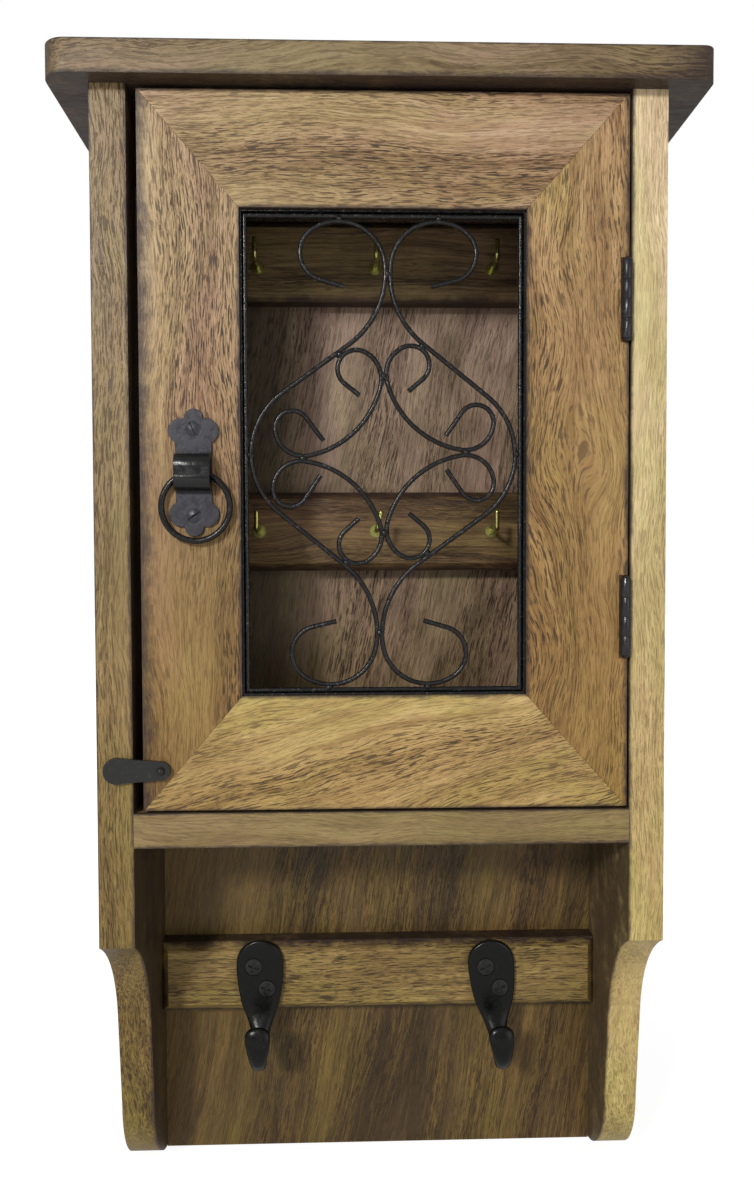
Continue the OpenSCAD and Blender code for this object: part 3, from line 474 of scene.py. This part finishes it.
def strap_mesh(name, stations, sides=40):
    """Sweeps rounded sections along a path in the y-z plane; both ends are closed."""
    rows = between(stations, 3)
    verts, faces = [], []
    for i, (y, drop, half_w, half_t, square) in enumerate(rows):
        before, after = rows[max(0, i - 1)], rows[min(len(rows) - 1, i + 1)]
        run = Vector((0, before[0] - after[0], before[1] - after[1])).normalized()
        out_dir = Vector((0, run.z, -run.y))
        for k in range(sides):
            turn = 2 * math.pi * k / sides
            c, d = math.cos(turn), math.sin(turn)
            wide = half_w * math.copysign(abs(c) ** (2 / square), c)
            thick = half_t * math.copysign(abs(d) ** (2 / square), d)
            spot = Vector((wide, -y, -drop)) + out_dir * thick
            verts.append(spot / 1000)
        if i:
            for k in range(sides):
                a, b = (i - 1) * sides + k, (i - 1) * sides + (k + 1) % sides
                faces.append((a, b, b + sides, a + sides))
    for row, flip in ((0, True), (len(rows) - 1, False)):
        ring = [row * sides + k for k in range(sides)]
        middle = len(verts)
        verts.append(sum((verts[r] for r in ring), Vector()) / sides)
        for k in range(sides):
            tri = (ring[k], ring[(k + 1) % sides], middle)
            faces.append(tri[::-1] if flip else tri)
    mesh = bpy.data.meshes.new(name)
    mesh.from_pydata(verts, [], faces)
    return mesh


def settle(obj):
    """Applies an object's modifiers and removes them."""
    depsgraph = bpy.context.evaluated_depsgraph_get()
    mesh = bpy.data.meshes.new_from_object(obj.evaluated_get(depsgraph))
    obj.modifiers.clear()
    obj.data = mesh


def coat_hook(side):
    """One forged hook with two wells for its screws, in place of the CAD's."""
    name = "coat_hook_" + side
    obj = bpy.data.objects.new("forged_" + name, strap_mesh("forged_" + name, HOOK_STATIONS))
    bpy.context.scene.collection.objects.link(obj)
    wells = bmesh.new()
    facing_front = Matrix.Rotation(math.radians(90), 4, "X")
    for x, z in HOOK_SCREWS:
        spot = Matrix.Translation((x / 1000, WELL_Y, z / 1000)) @ facing_front
        bmesh.ops.create_cone(wells, cap_ends=True, segments=40, radius1=WELL_R, radius2=WELL_R,
                              depth=WELL_DEPTH, matrix=spot)
    cutter_mesh = bpy.data.meshes.new("wells")
    wells.to_mesh(cutter_mesh)
    wells.free()
    cutter = bpy.data.objects.new("wells", cutter_mesh)
    bpy.context.scene.collection.objects.link(cutter)
    cut = obj.modifiers.new("wells", "BOOLEAN")
    cut.operation = "DIFFERENCE"
    cut.object = cutter
    bpy.context.view_layer.update()
    settle(obj)
    bpy.data.objects.remove(cutter)
    obj.data.shade_smooth()
    obj.data.set_sharp_from_angle(angle=math.radians(40))
    askew = math.radians(COAT_HOOK_LEAN[side])
    top = Vector((COAT_HOOK_X[side], RAIL_FRONT_Y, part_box(name)[1][2]))
    obj.data.transform(Matrix.Translation(top) @ Matrix.Rotation(askew, 4, "Y"))
    obj.data.materials.clear()
    obj.data.materials.append(coat_iron)
    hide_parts(name)
    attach(obj, "cabinet")


for side in ("left", "right"):
    coat_hook(side)


# ---- camera, light and floor ----

CAMERA_PLACE = (-0.0182, -0.5818, -0.2098)
CAMERA_ANGLES = (-1.81, 88.01, -0.19)  # pan, tip and roll, in degrees
CAMERA_LENS, CAMERA_SENSOR = 30.0, 36.0  # in mm


def camera():
    data = bpy.data.cameras.new("camera")
    data.sensor_width = CAMERA_SENSOR
    data.sensor_fit = "AUTO"
    data.lens = CAMERA_LENS
    obj = bpy.data.objects.new("camera", data)
    pan, tip, roll = (math.radians(angle) for angle in CAMERA_ANGLES)
    turn = Matrix.Rotation(pan, 4, "Z") @ Matrix.Rotation(tip, 4, "X") @ Matrix.Rotation(roll, 4, "Z")
    obj.matrix_world = Matrix.Translation(CAMERA_PLACE) @ turn
    bpy.context.scene.collection.objects.link(obj)
    bpy.context.scene.camera = obj


CABINET_MIDDLE = (0, -0.05, -0.25)


def lamp(name, place, size, power, color=(1, 1, 1)):
    """A round lamp that faces the middle of the cabinet."""
    data = bpy.data.lights.new(name, "AREA")
    data.shape = "DISK"
    data.size = size
    data.energy = power
    data.color = color
    obj = bpy.data.objects.new(name, data)
    obj.location = place
    facing = Vector(CABINET_MIDDLE) - Vector(place)
    obj.rotation_euler = facing.to_track_quat("-Z", "Y").to_euler()
    bpy.context.scene.collection.objects.link(obj)


def seen_directly(tree, in_gloss):
    """1 where the surface is looked at, in_gloss in reflections, 0 where it only lights the object."""
    path = tree.nodes.new("ShaderNodeLightPath")
    node = tree.nodes.new("ShaderNodeMath")
    node.operation = "MULTIPLY_ADD"
    tree.links.new(path.outputs["Is Glossy Ray"], node.inputs[0])
    node.inputs[1].default_value = in_gloss
    tree.links.new(path.outputs["Is Camera Ray"], node.inputs[2])
    return node.outputs[0]


# How much of the white world and of the glowing floor shows in reflections
WORLD_IN_GLOSS, FLOOR_IN_GLOSS = 0.3, 0.4
# The floor's glow grows between these distances, from the near share to the far share
NEAR, FAR = 0.56, 0.80
NEAR_GLOW, FAR_GLOW = 0.73, 0.93
# The floor lies this far under the cabinet, and ends this far out
FLOOR_DROP, FLOOR_REACH = 0.0015, 6.0


def world(ambient):
    """White where it is seen, and ambient as a light."""
    w = bpy.data.worlds.new("studio")
    bpy.context.scene.world = w
    w.use_nodes = True
    tree = w.node_tree
    tree.nodes.clear()
    mixer = tree.nodes.new("ShaderNodeMixShader")
    tree.links.new(seen_directly(tree, WORLD_IN_GLOSS), mixer.inputs["Fac"])
    for i, strength in ((1, ambient), (2, 1.0)):
        white = tree.nodes.new("ShaderNodeBackground")
        white.inputs["Strength"].default_value = strength
        white.inputs["Color"].default_value = (1, 1, 1, 1)
        tree.links.new(white.outputs[0], mixer.inputs[i])
    out = tree.nodes.new("ShaderNodeOutputWorld")
    tree.links.new(mixer.outputs[0], out.inputs["Surface"])


def floor():
    """A white floor just under the cabinet, which glows more with distance to join the white world."""
    level = cad_bounds[0][2] - FLOOR_DROP
    mesh = bpy.data.meshes.new("floor")
    corners = [(x * FLOOR_REACH, y * FLOOR_REACH, level) for x, y in ((-1, -1), (1, -1), (1, 1), (-1, 1))]
    mesh.from_pydata(corners, [], [(0, 1, 2, 3)])
    obj = bpy.data.objects.new("floor", mesh)
    bpy.context.scene.collection.objects.link(obj)
    t = Tree("floor")
    matt = t.add("BsdfDiffuse", {"Color": (0.9, 0.9, 0.9)})
    glow = t.add("Emission", {"Color": (1, 1, 1), "Strength": 1.25})
    place = t.add("TexCoord").outputs["Object"]
    distance = t.add("VectorMath", {0: place}, operation="LENGTH").outputs["Value"]
    glowing = t.smooth(distance, NEAR, FAR, NEAR_GLOW, FAR_GLOW)
    share = t.math("MULTIPLY", seen_directly(t.tree, FLOOR_IN_GLOSS), glowing)
    mixer = t.add("MixShader", {"Fac": share, 1: matt.outputs[0], 2: glow.outputs[0]})
    t.add("OutputMaterial", {"Surface": mixer.outputs[0]})
    mesh.materials.append(t.material)


camera()
world(0.27)
lamp("key", (-0.975, -2.05, 0.66), size=0.36, power=33.5, color=(1.0, 0.99, 0.97))
lamp("fill", (1.2, -1.6, 0.0), size=1.2, power=5.0)
floor()
bpy.context.scene.view_settings.view_transform = "Standard"
